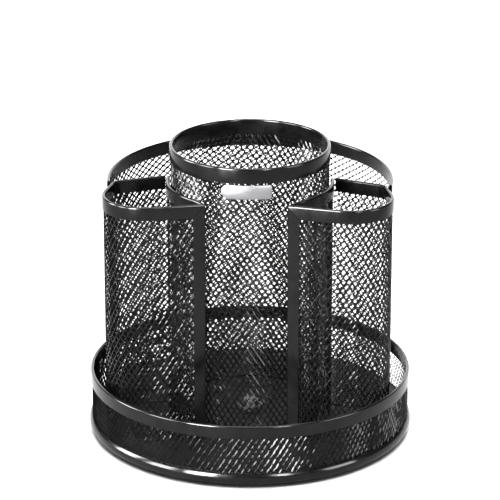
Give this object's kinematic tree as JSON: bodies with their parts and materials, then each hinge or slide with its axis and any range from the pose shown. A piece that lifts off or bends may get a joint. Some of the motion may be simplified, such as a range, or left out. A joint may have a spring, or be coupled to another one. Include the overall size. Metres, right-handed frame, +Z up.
{
  "type": "spinning desk organiser",
  "caption": "Spinning desk organiser: round mesh tray on a ball turntable, tall middle cup, front pockets and a back compartment in black expanded metal.",
  "frame": {"origin": "on the table under the spin axis, at the middle of the object's footprint", "axes": "+Z up along the spin axis, the front with the two pockets and the badge faces -Y, +X to the right seen from the front"},
  "size_m": [0.196, 0.196, 0.18],
  "materials": {
    "black_mesh": "black enamel on expanded metal, satin",
    "black_band": "smooth black enamel, semi-gloss",
    "black_sheet": "black enamel on sheet steel, satin",
    "zinc_steel": "zinc-plated pressed steel",
    "ball_steel": "polished bearing steel",
    "rubber": "matt black rubber",
    "nylon": "black nylon",
    "badge_metal": "fine brushed, blank"
  },
  "bodies": {
    "base": {"base_plate": "zinc_steel", "foot_pads": "rubber", "lower_race": "zinc_steel", "lower_race_rivets": "zinc_steel", "pivot_bolt": "zinc_steel", "nut_washer": "zinc_steel", "lock_nut": "zinc_steel"},
    "cage": {"ball_cage": "nylon", "bearing_balls": "ball_steel"},
    "organiser": {"upper_race": "zinc_steel", "upper_race_rivets": "black_sheet", "pivot_bush": "nylon", "tray_floor": "black_sheet", "tray_mesh_wall": "black_mesh", "tray_top_rim": "black_band", "tray_foot_ring": "black_band", "cup_floor": "black_sheet", "cup_mesh": "black_mesh", "cup_top_rim": "black_band", "left_pocket_mesh": "black_mesh", "left_pocket_rim": "black_band", "left_edge_trim": "black_band", "left_inner_mesh": "black_mesh", "left_inner_rim": "black_band", "left_pocket_floor": "black_sheet", "right_pocket_mesh": "black_mesh", "right_pocket_rim": "black_band", "right_edge_trim": "black_band", "right_inner_mesh": "black_mesh", "right_inner_rim": "black_band", "right_pocket_floor": "black_sheet", "back_mesh": "black_mesh", "back_rim": "black_band", "back_floor": "black_sheet", "badge_plate": "badge_metal", "badge_retainers": "zinc_steel", "floor_rivets": "black_sheet"}
  },
  "joints": [
    {"name": "spin", "type": "hinge", "parent": "base", "child": "organiser", "pos_m": [0, 0, 0.008], "axis": [0, 0, 1], "continuous": true},
    {"name": "cage_roll", "type": "hinge", "parent": "base", "child": "cage", "pos_m": [0, 0, 0.005], "axis": [0, 0, 1], "continuous": true}
  ],
  "couplings": [
    {"joint": "cage_roll", "follows": "spin", "ratio": 0.5}
  ]
}
